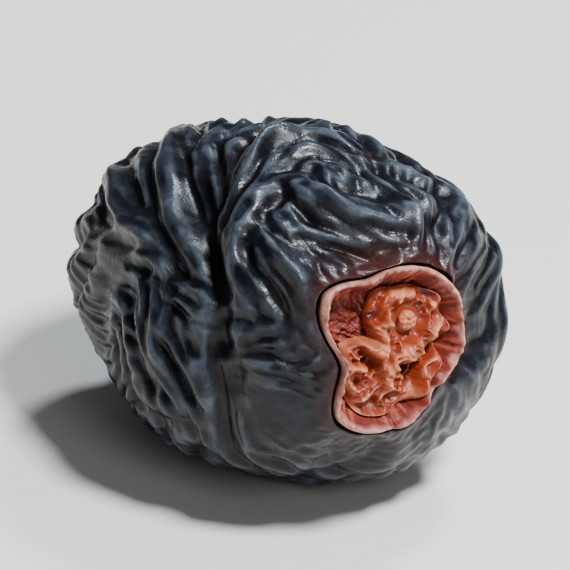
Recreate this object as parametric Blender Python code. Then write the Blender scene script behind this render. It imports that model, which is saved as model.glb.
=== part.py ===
"""A dried ajwa date lying on its side: the wrinkled fruit and the three pieces of its cap.

Blender units are metres, and Z is up. The stalk end points along +X and a little up. The fruit
rests on the plane Z = 0, with the origin under the middle of the date's bounding box.
"""

import math

import bmesh
import bpy
import numpy as np

MM = 0.001

# The bare fruit, in its own axes: X runs from the tip to the stalk end.
HALF_LENGTH = 15.3 * MM
HALF_WIDTH = 11.7 * MM
HALF_HEIGHT = 11.4 * MM
TIP_ROUNDNESS = 2.05
STALK_END_ROUNDNESS = 2.65
STALK_END_SWELL = 0.03

# How the fruit lies: its stalk end is higher, and it is pressed flat where it rests.
LEAN = math.radians(10.5)
AXIS_HEIGHT = 10.95 * MM
CENTRING = (-0.73 * MM, -0.15 * MM)
PRESS_BLEND = 0.3 * MM
REST_POINT = (-0.6 * MM, 0.0, -11.4 * MM)
REST_RADIUS = 6.2 * MM

# The cap's three lobes and the waists between them: the angle from +Y towards +Z, and the reach
# in mm. The petals overlap at the waists.
CAP_OUTLINE = (
    (42, 5.6),
    (102, 5.1),
    (134, 6.2),
    (181, 4.0),
    (224, 5.7),
    (270, 5.15),
    (313, 3.95),
    (358, 4.85),
)
CAP_MIDDLE = 4.2 * MM
OVERLAPS = (98, 184, 316)
OVERLAP_WIDTH = 7
OVERLAP_STEP = 0.4 * MM
OVERLAP_TWIST = 0.12

# The dish in the stalk end that the cap sits in, and the lip of skin round it.
SEAT_X = 12.1 * MM
SEAT_MARGIN = 0.26 * MM
SEAT_WALL = 0.2 * MM
LIP_HEIGHT = 0.25 * MM
LIP_WIDTH = 1.2 * MM
GAP = 0.28 * MM

# The petals: a bowl whose rim stands just above the skin.
PETAL_THICKNESS = 0.7 * MM
RIM_RISE = 0.15 * MM
RIM_WAVE = 0.15 * MM
RIM_WAVE_SIZE = 5 * MM
CURL_START = 0.66
LAYER_END = 0.94
RUFFLE = 0.16 * MM
RUFFLE_SIZE = 2.4 * MM

# The crumpled calyx: how far it reaches, its lobes and its notch as angle, length and width in
# degrees, and its folds and pits as height, half-width and the points (Y, Z) each runs through,
# all in mm.
CALYX_REACH = 3.55 * MM
CALYX_LOBES = ((36, 0.95 * MM, 28), (138, -2.0 * MM, 24), (238, 1.05 * MM, 28))
CALYX_THICKNESS = 0.65 * MM
CALYX_FOLDS = (
    (1.1, 0.38, ((-1.3, 0.4), (-2.1, 0.6), (-3.0, 0.4), (-2.9, -0.2), (-2.2, -0.8))),
    (1.0, 0.38, ((-3.2, -0.6), (-3.0, -1.6), (-2.6, -2.2), (-2.0, -3.0))),
    (1.2, 0.40, ((1.5, 3.5), (0.6, 3.2), (0.2, 2.8), (-0.4, 1.9), (-0.6, 0.9), (-0.9, 0.3), (-1.1, -0.8))),
    (0.9, 0.45, ((1.2, 3.5), (2.4, 3.0), (3.2, 2.1), (3.5, 1.0), (3.0, 0.0))),
    (1.2, 0.50, ((1.9, -0.3), (1.0, -0.6), (0.3, -0.9), (-0.2, -1.5))),
    (1.0, 0.38, ((-0.7, -2.3), (-0.9, -3.2), (-0.2, -3.8), (0.8, -3.6))),
    (0.8, 0.40, ((3.2, -0.8), (2.7, -1.7), (1.9, -2.5), (1.2, -3.0))),
    (-0.5, 0.50, ((2.4, -0.7), (1.7, -1.3), (1.2, -1.9))),
    (-0.5, 0.45, ((-2.5, -1.3), (-1.7, -0.8), (-1.8, 0.2))),
)
CALYX_FOLD_FALL = 1.6
CALYX_SWELL = 0.45 * MM
CALYX_EDGE = 6
FRAY = 0.25 * MM
FRAY_SIZE = 2 * MM
WARP = 0.25 * MM
WARP_SIZE = 2.5 * MM
CRUMPLE_SIZE = 2.2 * MM
CRUMPLE_HEIGHT = 0.4 * MM
CREASE_SLOPE = 1.6
CLEARANCE = 0.05 * MM

# The scar of the stalk, off the middle of the cap, and the calm ring of calyx round it.
SCAR_CENTRE = (1.5 * MM, 1.4 * MM)
SCAR_RADIUS = 0.62 * MM
SCAR_HEIGHT = 0.8 * MM
SCAR_PIT = 0.3 * MM
SCAR_RING = (0.8 * MM, 1.5 * MM)
SCAR_BULGES = ((3, 0.08, 1.0), (7, 0.05, 0.0))

# The pucker at the tip.
PUCKER_DEPTH = 0.9 * MM
PUCKER_RADIUS = 1.6 * MM

# Shrinkage relief of the skin: swells, dents, and bundles of parallel folds.
SWELL_SIZE = 15 * MM
SWELL_HEIGHT = 0.35 * MM
DENT_SIZE = 9 * MM
DENT_DEPTH = 1.0 * MM
DENT_RANGE = (0.1, 1.3)
DENT_STRETCH = 0.65
FOLD_SPACING = 2.7 * MM
FOLD_HEIGHT = 0.85 * MM
FOLD_SPREAD = 2.2 * MM
FOLD_COUNT = 700
SPACING_RANGE = (0.85, 1.2)
PATCH_REACH = 2.2
SETTLING_ROUNDS = 14
NEVER_ZERO = 1e-9

# Folds run round the fruit on the shoulder of its stalk end and lengthwise elsewhere, but wind
# off that course.
SHOULDER_X = 8 * MM
SHOULDER_REACH = 4.5 * MM
SHOULDER_TURN = 1.35
WINDING_SIZE = 12 * MM
WINDING = 1.3
SHOULDER_WINDING = 0.5
TURN_JITTER = 0.12

# Across a fold: where its round crest and its sharp one meet the bare skin, as a share of the
# height, and how far crease and crest are rounded off.
ROUND_LEVEL = 0.6
SHARP_LEVEL = 0.45
CREASE_ROUNDING = 0.02
CREST_ROUNDING = 0.01
SHARPNESS = 0.4
SHARP_SIZE = 8 * MM
SHARP_RANGE = (-0.3, 0.6)

# Where the skin is smoother: in patches, and in front below the cap.
STILL_SIZE = 9 * MM
STILL_RANGE = (-1.1, 0.1)
CALM_X = (9 * MM, 13 * MM)
CALM_DEPTH = (-4 * MM, 1 * MM)
CALM_SHARE = 0.75
LIP_RELIEF = 0.4

# The folds and furrows this date shows round its stalk end: height and half-width in mm, then
# the points it runs through. Each point is two angles in degrees: from the stalk end, and round
# the fruit from its top towards its front, at -Y. A furrow has a height below zero.
MARKED_FOLDS = (
    (1.05, 0.60, ((46, 58), (54, 50), (58, 39), (59, 27), (57, 16), (51, 14), (44, 8), (40, -4), (36, -18))),
    (0.90, 0.60, ((66, 46), (67, 30), (71, 18), (77, 6), (76, -6), (70, -12))),
    (0.70, 0.50, ((60, 42), (63, 28), (67, 15), (69, 4), (66, -6), (61, -14))),
    (0.75, 0.70, ((58, -17), (50, -20), (42, -26), (34, -28))),
    (0.75, 0.75, ((74, -50), (62, -54), (52, -56), (42, -56))),
    (0.60, 0.80, ((66, -68), (58, -74), (50, -82), (44, -90))),
    (1.00, 1.10, ((51, 38), (43, 41), (35, 46), (30, 56))),
    (0.80, 0.80, ((124, 16), (110, 22), (97, 32), (84, 43), (72, 52))),
    (0.75, 0.80, ((132, 26), (124, 38), (112, 46), (98, 53))),
    (0.60, 0.70, ((106, 62), (94, 58), (84, 57), (73, 60))),
    (0.65, 0.70, ((79, 66), (75, 76), (73, 86), (69, 94))),
    (0.60, 0.60, ((68, 68), (58, 69), (50, 64))),
    (0.50, 0.60, ((51, 92), (43, 90), (35, 94))),
    (-1.50, 1.25, ((42, 24), (36, 12), (31, 1), (29, -12))),
    (-1.20, 1.25, ((88, 26), (73, 38), (62, 50), (54, 66), (53, 84), (53, 102), (56, 118))),
)
CURVE_STEPS = 6
CREST_SHARE = 0.3
CREST_FALL = 1.3
END_FADE = 0.7
ARCH_START = 0.1
WANDER = 0.4 * MM
WANDER_SIZE = 5 * MM
FLOW_REACH = 2.6 * MM

# A random field sums waves about its size long. Each field has a seed of its own.
WAVES = 24
WAVE_RANGE = (0.6, 1.3)
WAVE_PEAK = 1.5
SEEDS = {
    "swell": 3,
    "dent": 21,
    "fold": 40,
    "still": 60,
    "sharp": 61,
    "wander": 70,
    "rim": 80,
    "ruffle": 83,
    "warp": 90,
    "crumple": 95,
    "fray": 96,
}

# Segments and rings of each mesh. The fruit's rings follow the cap: the foot and the lip of the
# seat lie on two of them. They are closer near the stalk end, and closer together in front and
# on top. Three quarters of a plate's rings are on its top.
FRUIT_RINGS = (94, 60)
PETAL_RINGS = (72, 24)
CALYX_RINGS = (72, 20)
SCAR_RINGS = (32, 12)
FOOT_RING = math.radians(15)
LIP_RING = math.radians(21)
RING_CROWDING = 1.25
SIDE_CROWDING = 0.28
CROWDED_SIDE = math.radians(125)
TOP_SHARE = 0.75
EDGE_SQUARENESS = 5
EDGE_CLOSENESS = 1.25
PATCH_RADII = (0.4 * MM, 0.75 * MM)
PATCH_AXIS = (1.0, 0.2, 0.1)
PATCH_SAMPLES = 6
SEARCH_STEPS = 24


def drift(points, size, seed):
    """A smooth random field of about -1 to 1, whose swells are about SIZE across."""
    rng = np.random.default_rng(seed)
    directions = rng.normal(size=(WAVES, 3))
    directions /= np.linalg.norm(directions, axis=1, keepdims=True)
    waves = directions * (2 * math.pi / size) * rng.uniform(*WAVE_RANGE, (WAVES, 1))
    phases = rng.uniform(0, 2 * math.pi, WAVES)
    return np.cos(points @ waves.T + phases).sum(1) / math.sqrt(WAVES / 2) / WAVE_PEAK


def drift_aside(points, size, seed):
    """Three random fields, as a sideways shift for each point."""
    return np.stack([drift(points, size, seed + axis) for axis in range(3)], axis=1)


def smooth_step(values, start, end):
    share = np.clip((values - start) / (end - start), 0, 1)
    return share * share * (3 - 2 * share)


def degrees_apart(angles, centre):
    """Degrees from CENTRE to each angle in radians, from -180 to 180."""
    return (np.degrees(angles) - centre + 180) % 360 - 180


def bare_fruit(directions):
    """The smooth barrel of the fruit, met from its middle along each unit direction."""
    stretched = directions * (HALF_LENGTH, HALF_WIDTH, HALF_HEIGHT)
    along = stretched[:, 0] / np.linalg.norm(stretched, axis=1)
    share = 0.5 + 0.5 * along
    power = TIP_ROUNDNESS + (STALK_END_ROUNDNESS - TIP_ROUNDNESS) * share**2
    lengthwise = np.abs(stretched[:, 0] / HALF_LENGTH)
    across = np.hypot(stretched[:, 1] / HALF_WIDTH, stretched[:, 2] / HALF_HEIGHT)
    reach = (lengthwise**power + across**power) ** (-1 / power)
    points = stretched * reach[:, None]
    points[:, 1:] *= 1 + STALK_END_SWELL * (points[:, 0] / HALF_LENGTH)[:, None]
    return points


def outward(points):
    """Unit normals of the bare fruit, near enough for relief."""
    normals = points / np.square([HALF_LENGTH, HALF_WIDTH, HALF_HEIGHT])
    return normals / np.linalg.norm(normals, axis=1, keepdims=True)


def spiral(count):
    """Unit directions spread evenly over a sphere."""
    step = np.arange(count) + 0.5
    x = 1 - 2 * step / count
    turn = step * math.pi * (3 - math.sqrt(5))
    ring = np.sqrt(1 - x**2)
    return np.stack([x, ring * np.cos(turn), ring * np.sin(turn)], axis=1)


def around(from_end, round_stalk):
    """Unit directions, by their angle from the stalk end and round it from +Y towards +Z."""
    ring = np.sin(from_end)
    return np.stack([np.cos(from_end), ring * np.cos(round_stalk), ring * np.sin(round_stalk)], axis=1)


def rounded_curve(corners):
    """A smooth curve through the corners, as closely spaced points."""
    padded = np.concatenate([[2 * corners[0] - corners[1]], corners, [2 * corners[-1] - corners[-2]]])
    steps = np.arange(CURVE_STEPS)[:, None] / CURVE_STEPS
    pieces = []
    for before, start, end, after in zip(padded, padded[1:], padded[2:], padded[3:]):
        slope = end - before
        bend = 2 * before - 5 * start + 4 * end - after
        twist = 3 * start - before - 3 * end + after
        pieces.append(start + 0.5 * (slope * steps + bend * steps**2 + twist * steps**3))
    return np.concatenate([*pieces, corners[-1:]])


def marked_curve(corners):
    """The line of a marked fold on the bare fruit."""
    from_end, from_top = np.radians(np.array(corners, float)).T
    return rounded_curve(bare_fruit(around(from_end, math.pi / 2 + from_top)))


def near_curve(points, curve):
    """Each point's distance to the curve, the share of the way along it, and its direction there."""
    nearest = np.full(len(points), np.inf)
    share = np.zeros(len(points))
    along = np.zeros((len(points), 3))
    for index, (start, end) in enumerate(zip(curve, curve[1:])):
        span = end - start
        place = np.clip((points - start) @ span / (span @ span), 0, 1)
        distance = np.linalg.norm(points - start - place[:, None] * span, axis=1)
        closer = distance < nearest
        nearest[closer] = distance[closer]
        share[closer] = (index + place[closer]) / (len(curve) - 1)
        along[closer] = span / np.linalg.norm(span)
    return nearest, share, along


def marked_flow(points):
    """The direction of the marked fold nearest to each point, and how strongly it holds there."""
    nearest = np.full(len(points), np.inf)
    flow = np.zeros((len(points), 3))
    for _, _, corners in MARKED_FOLDS:
        distance, _, along = near_curve(points, marked_curve(corners))
        closer = distance < nearest
        nearest[closer] = distance[closer]
        flow[closer] = along[closer]
    return flow, np.exp(-((nearest / FLOW_REACH) ** 2))[:, None]


def marked_folds(points):
    """The height of the marked folds and furrows, which fade towards their ends."""
    moved = points + WANDER * drift_aside(points, WANDER_SIZE, SEEDS["wander"])
    total = np.zeros(len(points))
    for height, width, corners in MARKED_FOLDS:
        distance, share, _ = near_curve(moved, marked_curve(corners))
        crest = CREST_SHARE * width * MM
        slope = (np.sqrt(distance**2 + crest**2) - crest) / (width * MM)
        arch = ARCH_START + (1 - 2 * ARCH_START) * share
        ends = np.sin(math.pi * arch) ** END_FADE
        total += height * MM * np.exp(-(slope**CREST_FALL)) * ends
    return total


def fold_waves(count, spacing, seed):
    """The centre of each patch of folds, and the wave across them, 2 pi over their spacing long.

    Folds run along the marked ones near them, and else round the fruit on the shoulder of the
    stalk end and lengthwise near both ends.
    """
    rng = np.random.default_rng(seed)
    centres = bare_fruit(spiral(count))
    normals = outward(centres)
    across = np.cross(normals, (1.0, 0.0, 0.0))
    across /= np.maximum(np.linalg.norm(across, axis=1, keepdims=True), NEVER_ZERO)
    lengthwise = np.cross(across, normals)
    shoulder = np.exp(-(((centres[:, 0] - SHOULDER_X) / SHOULDER_REACH) ** 2))
    winding = WINDING + (SHOULDER_WINDING - WINDING) * shoulder
    turn = SHOULDER_TURN * shoulder + winding * drift(centres, WINDING_SIZE, seed + 1)
    turn += rng.normal(0, TURN_JITTER, count)
    direction = across * np.cos(turn)[:, None] + lengthwise * np.sin(turn)[:, None]
    along, pull = marked_flow(centres)
    aligned = np.cross(normals, along)
    aligned *= np.sign((aligned * direction).sum(1, keepdims=True))
    direction = direction * (1 - pull) + aligned * pull
    direction /= np.linalg.norm(direction, axis=1, keepdims=True)
    length = 2 * math.pi / spacing * rng.uniform(*SPACING_RANGE, (count, 1))
    return centres, direction * length


def settled_phases(centres, waves, spread, seed):
    """Phases that let each patch's folds run on into its neighbours'."""
    phases = np.random.default_rng(seed).uniform(0, 2 * math.pi, len(centres))
    offsets = centres[:, None] - centres[None]
    weight = np.exp(-np.square(offsets).sum(2) / spread**2)
    np.fill_diagonal(weight, 0)
    turns = np.einsum("ijk,jk->ij", offsets, waves)
    for _ in range(SETTLING_ROUNDS):
        met = (weight * np.exp(1j * (turns + phases[None]))).sum(1)
        phases = np.angle(np.exp(1j * phases) + 2 * met / np.maximum(np.abs(met), NEVER_ZERO))
    return phases


def folds(points, count, spacing, spread, seed):
    """The phase of the folds at each point, 0 along a crest, and their strength from 0 to 1."""
    centres, waves = fold_waves(count, spacing, seed)
    phases = settled_phases(centres, waves, spread, seed + 2)
    order = np.argsort(points[:, 0])
    ordered = points[order]
    field = np.zeros(len(points), complex)
    width = PATCH_REACH * spread
    starts = np.searchsorted(ordered[:, 0], centres[:, 0] - width)
    ends = np.searchsorted(ordered[:, 0], centres[:, 0] + width)
    for centre, wave, phase, start, end in zip(centres, waves, phases, starts, ends):
        offset = ordered[start:end] - centre
        squared = np.square(offset).sum(1)
        near = np.flatnonzero(squared < width**2)
        turned = np.exp(1j * (offset[near] @ wave + phase))
        field[start + near] += np.exp(-squared[near] / spread**2) * turned
    strength = np.abs(field)
    strength = np.clip(strength / np.median(strength), 0, 1)
    phase = np.angle(field)
    back = np.argsort(order)
    return phase[back], strength[back]


def fold_profile(phase, sharpness):
    """Height across a fold: round crests and creases at a sharpness of 0, sharp crests at 1."""
    round_crest = np.sqrt(0.5 + 0.5 * np.cos(phase) + CREASE_ROUNDING) - ROUND_LEVEL
    sharp_crest = SHARP_LEVEL - np.sqrt(0.5 - 0.5 * np.cos(phase) + CREST_ROUNDING)
    return round_crest * (1 - sharpness) + sharp_crest * sharpness


def calm_front(points):
    """How smooth the skin is below and beside the cap, 0 to 1."""
    return smooth_step(points[:, 0], *CALM_X) * smooth_step(-points[:, 2], *CALM_DEPTH)


def relief(points):
    """How far the dried skin stands out from the bare fruit."""
    swell = SWELL_HEIGHT * drift(points, SWELL_SIZE, SEEDS["swell"])
    dented = smooth_step(drift(points * (DENT_STRETCH, 1, 1), DENT_SIZE, SEEDS["dent"]), *DENT_RANGE)
    phase, strength = folds(points, FOLD_COUNT, FOLD_SPACING, FOLD_SPREAD, SEEDS["fold"])
    sharpness = SHARPNESS * smooth_step(drift(points, SHARP_SIZE, SEEDS["sharp"]), *SHARP_RANGE)
    strength *= smooth_step(drift(points, STILL_SIZE, SEEDS["still"]), *STILL_RANGE)
    strength *= 1 - CALM_SHARE * calm_front(points)
    folded = FOLD_HEIGHT * fold_profile(phase, sharpness) * strength
    return swell - DENT_DEPTH * dented + folded + marked_folds(points)


def skin_relief(points):
    """The relief averaged over a small patch round each point, as fine as the faces can hold."""
    normals = outward(points)
    sideways = np.cross(normals, PATCH_AXIS)
    sideways /= np.linalg.norm(sideways, axis=1, keepdims=True)
    onward = np.cross(normals, sideways)
    crowding = 1 - SIDE_CROWDING * np.cos(np.arctan2(points[:, 2], points[:, 1]) - CROWDED_SIDE)
    samples = [relief(points)]
    for radius in PATCH_RADII:
        for turn in np.linspace(0, 2 * math.pi, PATCH_SAMPLES, endpoint=False):
            step = sideways * math.cos(turn) + onward * math.sin(turn)
            samples.append(relief(points + radius * crowding[:, None] * step))
    return np.mean(samples, axis=0)


def cap_reach(angles):
    """The outline of the cap: how far the petals reach at each angle round the stalk."""
    reach = np.zeros(len(angles))
    for (start, first), (end, last) in zip(CAP_OUTLINE, CAP_OUTLINE[1:] + CAP_OUTLINE[:1]):
        width = (end - start) % 360
        into = (np.degrees(angles) - start) % 360
        inside = into < width
        reach[inside] = first + (last - first) * smooth_step(into[inside], 0, width)
    return reach * MM


def face_level(away):
    """The level along X of the bare stalk end, AWAY from its middle."""
    across = (away / HALF_WIDTH) ** STALK_END_ROUNDNESS
    return HALF_LENGTH * (1 - across) ** (1 / STALK_END_ROUNDNESS)


def laid_down(points):
    """Leans the date, lifts it to its resting height and presses it flat on Z = 0."""
    x, y, z = points.T
    lying = np.stack(
        [
            x * math.cos(LEAN) - z * math.sin(LEAN) + CENTRING[0],
            y + CENTRING[1],
            x * math.sin(LEAN) + z * math.cos(LEAN) + AXIS_HEIGHT,
        ],
        axis=1,
    )
    above = np.maximum(lying[:, 2], 0)
    lying[:, 2] = above**2 / (above + PRESS_BLEND)
    return lying


def beyond_seat(bare):
    """How far points of the bare fruit are outside the foot of the seat's wall."""
    away = np.hypot(bare[:, 1], bare[:, 2])
    return away - cap_reach(np.arctan2(bare[:, 2], bare[:, 1])) - SEAT_MARGIN


def seat_angle(round_stalk, beyond):
    """The angle from the stalk end at which the bare fruit is BEYOND outside the seat's foot."""
    low = np.zeros(len(round_stalk))
    high = np.full(len(round_stalk), math.pi / 3)
    for _ in range(SEARCH_STEPS):
        middle = (low + high) / 2
        inside = beyond_seat(bare_fruit(around(middle, round_stalk))) < beyond
        low = np.where(inside, middle, low)
        high = np.where(inside, high, middle)
    return middle


def fruit_skin(sphere):
    """The surface of the dried fruit, with the sphere's rings round the stalk."""
    ring = np.arccos(np.clip(sphere[:, 2], -1, 1))
    turn = np.arctan2(sphere[:, 1], sphere[:, 0])
    round_stalk = turn - SIDE_CROWDING * np.sin(turn - CROWDED_SIDE)
    foot = seat_angle(round_stalk, 0)
    lip = seat_angle(round_stalk, SEAT_WALL)
    on_floor = foot * ring / FOOT_RING
    on_wall = foot + (lip - foot) * (ring - FOOT_RING) / (LIP_RING - FOOT_RING)
    onward = np.maximum(ring - LIP_RING, 0) / (math.pi - LIP_RING)
    on_skin = lip + (math.pi - lip) * onward**RING_CROWDING
    from_end = np.where(ring < FOOT_RING, on_floor, np.where(ring < LIP_RING, on_wall, on_skin))
    bare = bare_fruit(around(from_end, round_stalk))
    away = np.hypot(bare[:, 1], bare[:, 2])
    beyond = np.where(bare[:, 0] > 0, beyond_seat(bare), HALF_LENGTH)
    free = smooth_step(beyond, 0, SEAT_WALL)
    lip_height = LIP_HEIGHT * np.exp(-(((beyond - SEAT_WALL) / LIP_WIDTH) ** 2))
    resting = np.exp(-(np.square(bare - REST_POINT).sum(1) / REST_RADIUS**2) ** 2)
    pucker = np.where(bare[:, 0] < 0, -PUCKER_DEPTH * np.exp(-((away / PUCKER_RADIUS) ** 2)), 0)
    kept = LIP_RELIEF + (1 - LIP_RELIEF) * smooth_step(beyond, 0, LIP_WIDTH)
    height = (skin_relief(bare) * kept + lip_height) * (1 - resting)
    points = bare + outward(bare) * ((height + pucker) * free)[:, None]
    points[:, 0] = np.where(bare[:, 0] > 0, points[:, 0] * free + SEAT_X * (1 - free), points[:, 0])
    return laid_down(points)


def plate(directions, reach):
    """Spreads a sphere into a plate: radius and angle, and -1 to 1 from its underside to its top."""
    angles = np.arctan2(directions[:, 1], directions[:, 0])
    turn = np.arccos(np.clip(directions[:, 2], -1, 1)) / math.pi
    inwards = np.interp(turn, (0, TOP_SHARE, 1), (1, 0, -1))
    share = 1 - np.abs(inwards) ** EDGE_CLOSENESS
    side = np.sign(inwards) * (1 - share**EDGE_SQUARENESS) ** (1 / EDGE_SQUARENESS)
    return reach(angles) * share, angles, side


def placed(radius, angles, height):
    """Points at a radius and angle round the stalk, and a height along X."""
    across = radius * np.cos(angles)
    return np.stack([np.broadcast_to(height, across.shape), across, radius * np.sin(angles)], axis=1)


def petal_levels(radius, angles):
    """How high each petal lies: every one starts under its neighbour and ends over the next."""
    twisted = angles + OVERLAP_TWIST * radius / CAP_MIDDLE
    level = np.zeros(len(angles))
    for start, end in zip(OVERLAPS, OVERLAPS[1:] + OVERLAPS[:1]):
        width = (end - start) % 360
        into = (np.degrees(twisted) - start) % 360
        inside = into < width
        share = np.minimum(into / OVERLAP_WIDTH, 1) - into / width
        level[inside] = OVERLAP_STEP * share[inside]
    return level


def petal_middle(radius, angles):
    """The level of the middle of the petals: a bowl whose uneven rim stands just above the skin."""
    rim = face_level(cap_reach(angles)) + LIP_HEIGHT + RIM_RISE - PETAL_THICKNESS / 2
    rim += RIM_WAVE * drift(placed(CAP_MIDDLE, angles, 0), RIM_WAVE_SIZE, SEEDS["rim"])
    floor = SEAT_X + GAP + PETAL_THICKNESS / 2
    return floor + (rim - floor) * smooth_step(radius / cap_reach(angles), CURL_START, 1.0)


def petal_layers(radius, angles):
    """How far the petals' tops stand above an even thickness, towards their rims."""
    outer = smooth_step(radius / cap_reach(angles), CURL_START, LAYER_END)
    ruffle = RUFFLE * drift(placed(radius, angles, 0), RUFFLE_SIZE, SEEDS["ruffle"])
    return (petal_levels(radius, angles) + ruffle) * outer


def petal_shape(directions):
    radius, angles, side = plate(directions, cap_reach)
    height = petal_middle(radius, angles) + 0.5 * PETAL_THICKNESS * side
    height += petal_layers(radius, angles) * (side > -0.5)
    return laid_down(placed(radius, angles, height))


def calyx_reach(angles):
    reach = np.full(len(angles), CALYX_REACH)
    for centre, length, width in CALYX_LOBES:
        reach += length * np.exp(-((degrees_apart(angles, centre) / width) ** 2))
    return reach + FRAY * drift(placed(CALYX_REACH, angles, 0), FRAY_SIZE, SEEDS["fray"])


def crumpled(flat):
    """Height of the crumpled calyx above its thinnest: the marked folds over a lighter crumple."""
    moved = flat + WARP * drift_aside(flat, WARP_SIZE, SEEDS["warp"])
    creases = 1 - CREASE_SLOPE * np.abs(drift(moved, CRUMPLE_SIZE, SEEDS["crumple"]))
    total = CALYX_SWELL + CRUMPLE_HEIGHT * creases
    for height, width, corners in CALYX_FOLDS:
        curve = rounded_curve(np.array([(0, y, z) for y, z in corners]) * MM)
        distance, _, _ = near_curve(moved, curve)
        total += height * MM * np.exp(-((distance / (width * MM)) ** CALYX_FOLD_FALL))
    return np.maximum(total, 0)


def calyx_floor(radius, angles):
    """The level of the calyx's underside, just clear of the petals."""
    petals = petal_middle(radius, angles) + PETAL_THICKNESS / 2 + petal_layers(radius, angles)
    return petals + GAP + CLEARANCE


def calyx_shape(directions):
    radius, angles, side = plate(directions, calyx_reach)
    flat = placed(radius, angles, 0)
    from_scar = np.hypot(flat[:, 1] - SCAR_CENTRE[0], flat[:, 2] - SCAR_CENTRE[1])
    inner = 1 - (radius / calyx_reach(angles)) ** CALYX_EDGE
    top = CALYX_THICKNESS + crumpled(flat) * smooth_step(from_scar, *SCAR_RING) * inner
    height = calyx_floor(radius, angles) + top * (0.5 + 0.5 * side)
    return laid_down(placed(radius, angles, height))


def scar_reach(angles):
    bulges = sum(share * np.cos(count * angles + turn) for count, share, turn in SCAR_BULGES)
    return SCAR_RADIUS * (1 + bulges)


def scar_shape(directions):
    radius, angles, side = plate(directions, scar_reach)
    pit = SCAR_PIT * np.exp(-((radius / (0.5 * SCAR_RADIUS)) ** 2))
    points = placed(radius, angles, 0) + (0, *SCAR_CENTRE)
    away = np.hypot(points[:, 1], points[:, 2])
    floor = calyx_floor(away, np.arctan2(points[:, 2], points[:, 1])) + CALYX_THICKNESS + GAP
    points[:, 0] = floor + (SCAR_HEIGHT - pit) * (0.5 + 0.5 * side)
    return laid_down(points)


def ringed_sphere(rings):
    """A sphere of rings round Z, as segments round and rings up."""
    mesh = bmesh.new()
    bmesh.ops.create_uvsphere(mesh, u_segments=rings[0], v_segments=rings[1], radius=1)
    return mesh


def finish(name, colour, roughness):
    made = bpy.data.materials.new(name)
    made.use_nodes = True
    shader = made.node_tree.nodes["Principled BSDF"]
    shader.inputs["Base Color"].default_value = (*colour, 1)
    shader.inputs["Roughness"].default_value = roughness
    shader.inputs["Metallic"].default_value = 0
    return made


def add_object(name, mesh, shape, material, collection):
    """Moves the vertices of MESH by SHAPE and adds the result as a smooth object."""
    moved = shape(np.array([vertex.co for vertex in mesh.verts]))
    for vertex, place in zip(mesh.verts, moved):
        vertex.co = place
    data = bpy.data.meshes.new(name)
    mesh.to_mesh(data)
    mesh.free()
    data.materials.append(material)
    data.shade_smooth()
    made = bpy.data.objects.new(name, data)
    collection.objects.link(made)
    return made


def main():
    for old in list(bpy.data.objects):
        bpy.data.objects.remove(old, do_unlink=True)
    collection = bpy.data.collections.new("ajwa_date")
    bpy.context.scene.collection.children.link(collection)
    skin = finish("date_skin", (0.012, 0.013, 0.017), 0.42)
    petal = finish("dried_petal", (0.24, 0.055, 0.035), 0.6)
    sepal = finish("dried_sepal", (0.36, 0.08, 0.025), 0.6)
    fibre = finish("stalk_fibre", (0.33, 0.12, 0.045), 0.8)
    add_object("fruit", ringed_sphere(FRUIT_RINGS), fruit_skin, skin, collection)
    add_object("petals", ringed_sphere(PETAL_RINGS), petal_shape, petal, collection)
    add_object("calyx", ringed_sphere(CALYX_RINGS), calyx_shape, sepal, collection)
    add_object("stalk_scar", ringed_sphere(SCAR_RINGS), scar_shape, fibre, collection)


main()
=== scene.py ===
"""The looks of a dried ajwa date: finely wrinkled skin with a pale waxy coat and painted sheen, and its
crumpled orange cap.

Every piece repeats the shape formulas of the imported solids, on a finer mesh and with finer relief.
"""

import math

import bmesh
import bpy
import numpy as np
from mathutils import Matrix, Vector


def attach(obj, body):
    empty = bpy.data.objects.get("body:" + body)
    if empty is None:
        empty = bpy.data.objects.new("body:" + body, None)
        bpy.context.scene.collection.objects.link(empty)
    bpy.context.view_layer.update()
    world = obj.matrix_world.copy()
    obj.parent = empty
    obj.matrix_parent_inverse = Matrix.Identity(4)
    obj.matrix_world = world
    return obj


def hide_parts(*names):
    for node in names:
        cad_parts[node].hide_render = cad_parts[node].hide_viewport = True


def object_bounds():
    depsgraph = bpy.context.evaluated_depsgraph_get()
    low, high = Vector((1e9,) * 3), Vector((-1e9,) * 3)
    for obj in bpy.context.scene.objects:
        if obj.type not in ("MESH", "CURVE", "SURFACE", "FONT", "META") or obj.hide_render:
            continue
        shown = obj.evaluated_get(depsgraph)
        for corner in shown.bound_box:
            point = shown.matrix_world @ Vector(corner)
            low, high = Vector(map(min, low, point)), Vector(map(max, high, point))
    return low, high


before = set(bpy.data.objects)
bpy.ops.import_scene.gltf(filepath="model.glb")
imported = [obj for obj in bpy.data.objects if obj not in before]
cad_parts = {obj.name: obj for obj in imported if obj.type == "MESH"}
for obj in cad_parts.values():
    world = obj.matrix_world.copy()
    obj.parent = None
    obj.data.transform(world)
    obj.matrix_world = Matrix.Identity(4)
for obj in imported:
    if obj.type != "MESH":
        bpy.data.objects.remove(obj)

CAD_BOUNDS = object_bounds()
MM = 0.001

# The bare fruit, in its own axes: X runs from the tip to the stalk end.
HALF_LENGTH = 15.3 * MM
HALF_WIDTH = 11.7 * MM
HALF_HEIGHT = 11.4 * MM
TIP_ROUNDNESS = 2.05
STALK_END_ROUNDNESS = 2.65
STALK_END_SWELL = 0.03

# How the fruit lies: its stalk end is higher, and it is pressed flat where it rests.
LEAN = math.radians(10.5)
AXIS_HEIGHT = 10.95 * MM
CENTRING = (-0.73 * MM, -0.15 * MM)
PRESS_BLEND = 0.3 * MM
REST_POINT = (-0.6 * MM, 0.0, -11.4 * MM)
REST_RADIUS = 6.2 * MM

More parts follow.
